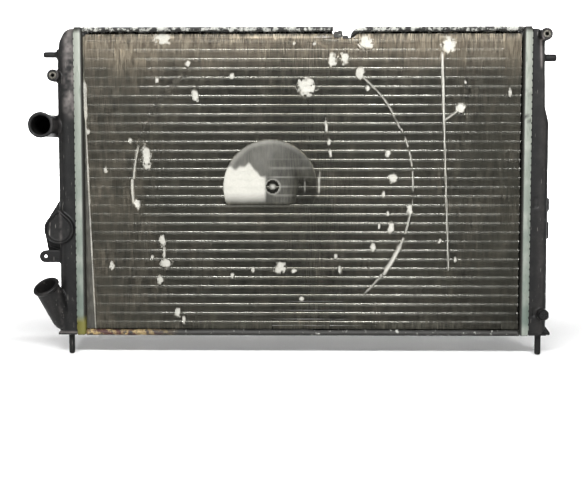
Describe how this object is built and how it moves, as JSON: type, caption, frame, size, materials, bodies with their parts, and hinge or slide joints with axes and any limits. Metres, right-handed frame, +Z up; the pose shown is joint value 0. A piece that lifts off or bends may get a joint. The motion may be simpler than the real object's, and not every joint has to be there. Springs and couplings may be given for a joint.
{
  "type": "car radiator",
  "caption": "Cross-flow car radiator: finned tube core, crimped header plates, plastic side tanks with hose spouts, pegs, cowl bosses and a drain plug.",
  "frame": {"origin": "on the axis of the left bottom pin, at its shoulder under the left tank", "axes": "+X along the core towards the right tank, +Y from the engine side to the grille side, +Z up"},
  "size_m": [0.7011, 0.084, 0.441],
  "materials": {
    "tank_nylon": "moulded glass-filled nylon, dull, scuffed",
    "header_aluminium": "pressed sheet, dull, with a pale oxide bloom",
    "seal_rubber": "moulded rubber",
    "tube_aluminium": "drawn tube",
    "strip_aluminium": "folded strip",
    "fin_aluminium": "thin sheet, dulled by road dirt",
    "side_plate_aluminium": "rolled sheet, worn",
    "bush_brass": "turned, tarnished",
    "plug_nylon": "moulded nylon"
  },
  "bodies": {
    "radiator": {"left_tank": "tank_nylon", "right_tank": "tank_nylon", "left_header_plate": "header_aluminium", "right_header_plate": "header_aluminium", "left_gasket": "seal_rubber", "right_gasket": "seal_rubber", "flow_baffle": "tank_nylon", "upper_front_tubes": "tube_aluminium", "upper_rear_tubes": "tube_aluminium", "lower_front_tubes": "tube_aluminium", "lower_rear_tubes": "tube_aluminium", "upper_front_turbulators": "strip_aluminium", "upper_rear_turbulators": "strip_aluminium", "lower_front_turbulators": "strip_aluminium", "lower_rear_turbulators": "strip_aluminium", "fins": "fin_aluminium", "upper_side_plate": "side_plate_aluminium", "lower_side_plate": "side_plate_aluminium", "upper_left_bush": "bush_brass", "upper_right_bush": "bush_brass"},
    "drain_seal_ring": {"drain_seal": "seal_rubber"},
    "drain_plug_screw": {"drain_plug": "plug_nylon"}
  },
  "joints": [
    {"name": "drain_travel", "type": "slide", "parent": "radiator", "child": "drain_seal_ring", "axis": [0, -1, 0], "range_m": [0, 0.008]},
    {"name": "drain_turn", "type": "hinge", "parent": "drain_seal_ring", "child": "drain_plug_screw", "pos_m": [0.6385, -0.028, 0.03], "axis": [0, -1, 0], "range_deg": [0, 1440]}
  ],
  "couplings": [
    {"joint": "drain_turn", "follows": "drain_travel", "rad_per_m": 3141.6}
  ]
}
